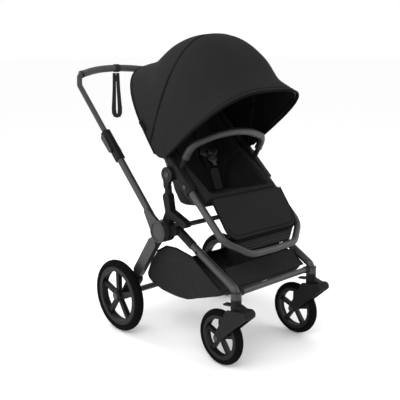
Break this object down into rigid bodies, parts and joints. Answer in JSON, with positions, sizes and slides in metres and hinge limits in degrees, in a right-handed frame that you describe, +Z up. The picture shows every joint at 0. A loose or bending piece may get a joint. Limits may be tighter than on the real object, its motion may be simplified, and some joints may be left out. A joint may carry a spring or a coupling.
{
  "type": "baby stroller",
  "caption": "Folding baby stroller with a reclining bucket seat, deep round canopy, bumper bar, under-seat basket, swivel front wheels and larger rear wheels.",
  "frame": {"origin": "on the ground, under the middle of the whole stroller's box", "axes": "+Z up, -Y to the front of the stroller, +X to its left side as the pusher sees it"},
  "size_m": [0.631, 1.044, 1.163],
  "materials": {
    "tube": "matt black anodised tube",
    "casting": "fine-grained black moulding",
    "satin_plastic": "satin black moulding",
    "steel": "bright pin",
    "tyre": "matt foam tyre",
    "rim": "satin black five-spoke wheel",
    "leatherette": "black stitched leather look",
    "canopy_cloth": "plain weave, near black",
    "basket_cloth": "plain weave, near black",
    "seat_cloth": "fine padded weave, near black",
    "webbing": "woven strap",
    "spring_steel": "coated flat spring"
  },
  "bodies": {
    "chassis": {"hub_casting_left": "casting", "hub_casting_right": "casting", "front_leg_left": "tube", "front_leg_right": "tube", "hub_pins": "steel", "hub_crossbar": "tube", "front_crossbar": "tube", "seat_posts": "casting", "basket": "basket_cloth"},
    "rear_legs": {"rear_leg_left": "tube", "rear_leg_right": "tube", "wheel_mounts": "casting", "rear_axle_beam": "tube"},
    "brake": {"brake_pedal": "casting"},
    "handle": {"push_tube_left": "tube", "push_tube_right": "tube", "height_block_left": "casting", "height_block_right": "casting", "hub_covers": "satin_plastic"},
    "handle_top": {"handle_bow": "tube", "grip": "leatherette", "wrist_strap": "webbing"},
    "seat_carrier": {"seat_pivots": "casting"},
    "seat": {"seat_loop": "tube", "frame_housings": "casting", "seat_bucket": "seat_cloth", "leg_rest": "seat_cloth", "foot_plate": "casting", "harness_buckle": "satin_plastic", "harness_straps": "webbing", "canopy_rear": "canopy_cloth"},
    "buckle_button": {"buckle_button": "satin_plastic"},
    "recline_handle": {"recline_handle": "casting"},
    "bumper": {"bumper_bar": "leatherette"},
    "canopy_mid": {"canopy_bow": "spring_steel", "canopy_middle": "canopy_cloth"},
    "canopy_visor": {"visor_rim": "spring_steel", "canopy_front": "canopy_cloth"},
    "rear_wheel_left": {"rear_left_tyre": "tyre", "rear_left_rim": "rim"},
    "release_left": {"wheel_release_left": "satin_plastic"},
    "fold_slider_left": {"fold_slider_left": "satin_plastic"},
    "height_lever_left": {"height_lever_left": "satin_plastic"},
    "caster_left": {"caster_body_left": "casting"},
    "swivel_lock_left": {"swivel_lock_left": "casting"},
    "fork_left": {"caster_fork_left": "casting"},
    "front_wheel_left": {"front_left_tyre": "tyre", "front_left_rim": "rim"},
    "frame_button_left": {"frame_button_left": "satin_plastic"},
    "rear_wheel_right": {"rear_right_tyre": "tyre", "rear_right_rim": "rim"},
    "release_right": {"wheel_release_right": "satin_plastic"},
    "fold_slider_right": {"fold_slider_right": "satin_plastic"},
    "height_lever_right": {"height_lever_right": "satin_plastic"},
    "caster_right": {"caster_body_right": "casting"},
    "swivel_lock_right": {"swivel_lock_right": "casting"},
    "fork_right": {"caster_fork_right": "casting"},
    "front_wheel_right": {"front_right_tyre": "tyre", "front_right_rim": "rim"},
    "frame_button_right": {"frame_button_right": "satin_plastic"}
  },
  "joints": [
    {"name": "handle_fold", "type": "hinge", "parent": "chassis", "child": "handle", "pos_m": [0, -0.1, 0.446], "axis": [1, 0, 0], "range_deg": [0, 150]},
    {"name": "rear_leg_fold", "type": "hinge", "parent": "chassis", "child": "rear_legs", "pos_m": [0, -0.1, 0.446], "axis": [-1, 0, 0], "range_deg": [0, 56.1]},
    {"name": "handle_telescope", "type": "slide", "parent": "handle", "child": "handle_top", "axis": [0, -0.7009, -0.7132], "range_m": [0, 0.15]},
    {"name": "brake_press", "type": "hinge", "parent": "rear_legs", "child": "brake", "pos_m": [0, 0.114, 0.145], "axis": [-1, 0, 0], "range_deg": [0, 18]},
    {"name": "seat_lift", "type": "slide", "parent": "chassis", "child": "seat_carrier", "axis": [0, 0, 1], "range_m": [0, 0.12]},
    {"name": "seat_recline", "type": "hinge", "parent": "seat_carrier", "child": "seat", "pos_m": [0, -0.118, 0.66], "axis": [-1, 0, 0], "range_deg": [0, 35]},
    {"name": "buckle_press", "type": "slide", "parent": "seat", "child": "buckle_button", "axis": [0, 0.829, -0.5593], "range_m": [0, 0.0025], "stiffness_N_per_m": 600, "springref_m": -0.001},
    {"name": "recline_squeeze", "type": "slide", "parent": "seat", "child": "recline_handle", "axis": [0, -0.6782, 0.7349], "range_m": [0, 0.008], "stiffness_N_per_m": 400, "springref_m": -0.002},
    {"name": "bumper_pull", "type": "slide", "parent": "seat", "child": "bumper", "axis": [0, -0.4899, 0.8718], "range_m": [0, 0.06]},
    {"name": "canopy_mid_fold", "type": "hinge", "parent": "seat", "child": "canopy_mid", "pos_m": [0, -0.096, 0.72], "axis": [-1, 0, 0], "range_deg": [0, 38.1]},
    {"name": "canopy_fold", "type": "hinge", "parent": "canopy_mid", "child": "canopy_visor", "pos_m": [0, -0.096, 0.72], "axis": [-1, 0, 0], "range_deg": [0, 38], "deforming": ["canopy_rear", "canopy_middle", "canopy_front"]},
    {"name": "rear_wheel_spin_left", "type": "hinge", "parent": "rear_legs", "child": "rear_wheel_left", "pos_m": [0.294, 0.114, 0.145], "axis": [1, 0, 0], "continuous": true},
    {"name": "wheel_release_left", "type": "slide", "parent": "rear_wheel_left", "child": "release_left", "axis": [-1, 0, 0], "range_m": [0, 0.0022], "stiffness_N_per_m": 600},
    {"name": "fold_slide_left", "type": "slide", "parent": "handle", "child": "fold_slider_left", "axis": [0, 0.7009, 0.7132], "range_m": [0, 0.016], "stiffness_N_per_m": 150, "springref_m": -0.004},
    {"name": "height_clamp_left", "type": "hinge", "parent": "handle", "child": "height_lever_left", "pos_m": [0.2728, 0.22522, 0.77695], "axis": [0, -0.7132, 0.7009], "range_deg": [0, 55]},
    {"name": "caster_swivel_left", "type": "hinge", "parent": "chassis", "child": "caster_left", "pos_m": [0.2075, -0.4535, 0.25], "axis": [0, 0, 1], "continuous": true},
    {"name": "swivel_lock_left", "type": "hinge", "parent": "caster_left", "child": "swivel_lock_left", "pos_m": [0.2075, -0.4275, 0.238], "axis": [1, 0, 0], "range_deg": [0, 25]},
    {"name": "fork_travel_left", "type": "hinge", "parent": "caster_left", "child": "fork_left", "pos_m": [0.2075, -0.505, 0.221], "axis": [1, 0, 0], "range_deg": [0, 8], "stiffness_Nm_per_rad": 25, "springref_deg": -20.05},
    {"name": "front_wheel_spin_left", "type": "hinge", "parent": "fork_left", "child": "front_wheel_left", "pos_m": [0.2075, -0.382, 0.103], "axis": [1, 0, 0], "continuous": true},
    {"name": "frame_button_left", "type": "slide", "parent": "seat", "child": "frame_button_left", "axis": [-1, 0, 0], "range_m": [0, 0.0022], "stiffness_N_per_m": 400},
    {"name": "rear_wheel_spin_right", "type": "hinge", "parent": "rear_legs", "child": "rear_wheel_right", "pos_m": [-0.294, 0.114, 0.145], "axis": [1, 0, 0], "continuous": true},
    {"name": "wheel_release_right", "type": "slide", "parent": "rear_wheel_right", "child": "release_right", "axis": [1, 0, 0], "range_m": [0, 0.0022], "stiffness_N_per_m": 600},
    {"name": "fold_slide_right", "type": "slide", "parent": "handle", "child": "fold_slider_right", "axis": [0, 0.7009, 0.7132], "range_m": [0, 0.016], "stiffness_N_per_m": 150, "springref_m": -0.004},
    {"name": "height_clamp_right", "type": "hinge", "parent": "handle", "child": "height_lever_right", "pos_m": [-0.2728, 0.22522, 0.77695], "axis": [0, 0.7132, -0.7009], "range_deg": [0, 55]},
    {"name": "caster_swivel_right", "type": "hinge", "parent": "chassis", "child": "caster_right", "pos_m": [-0.2075, -0.4535, 0.25], "axis": [0, 0, 1], "continuous": true},
    {"name": "swivel_lock_right", "type": "hinge", "parent": "caster_right", "child": "swivel_lock_right", "pos_m": [-0.2075, -0.4275, 0.238], "axis": [1, 0, 0], "range_deg": [0, 25]},
    {"name": "fork_travel_right", "type": "hinge", "parent": "caster_right", "child": "fork_right", "pos_m": [-0.2075, -0.505, 0.221], "axis": [1, 0, 0], "range_deg": [0, 8], "stiffness_Nm_per_rad": 25, "springref_deg": -20.05},
    {"name": "front_wheel_spin_right", "type": "hinge", "parent": "fork_right", "child": "front_wheel_right", "pos_m": [-0.2075, -0.382, 0.103], "axis": [1, 0, 0], "continuous": true},
    {"name": "frame_button_right", "type": "slide", "parent": "seat", "child": "frame_button_right", "axis": [1, 0, 0], "range_m": [0, 0.0022], "stiffness_N_per_m": 400}
  ],
  "couplings": [
    {"joint": "rear_leg_fold", "follows": "handle_fold", "ratio": 0.374},
    {"joint": "canopy_mid_fold", "follows": "canopy_fold", "ratio": 1}
  ]
}
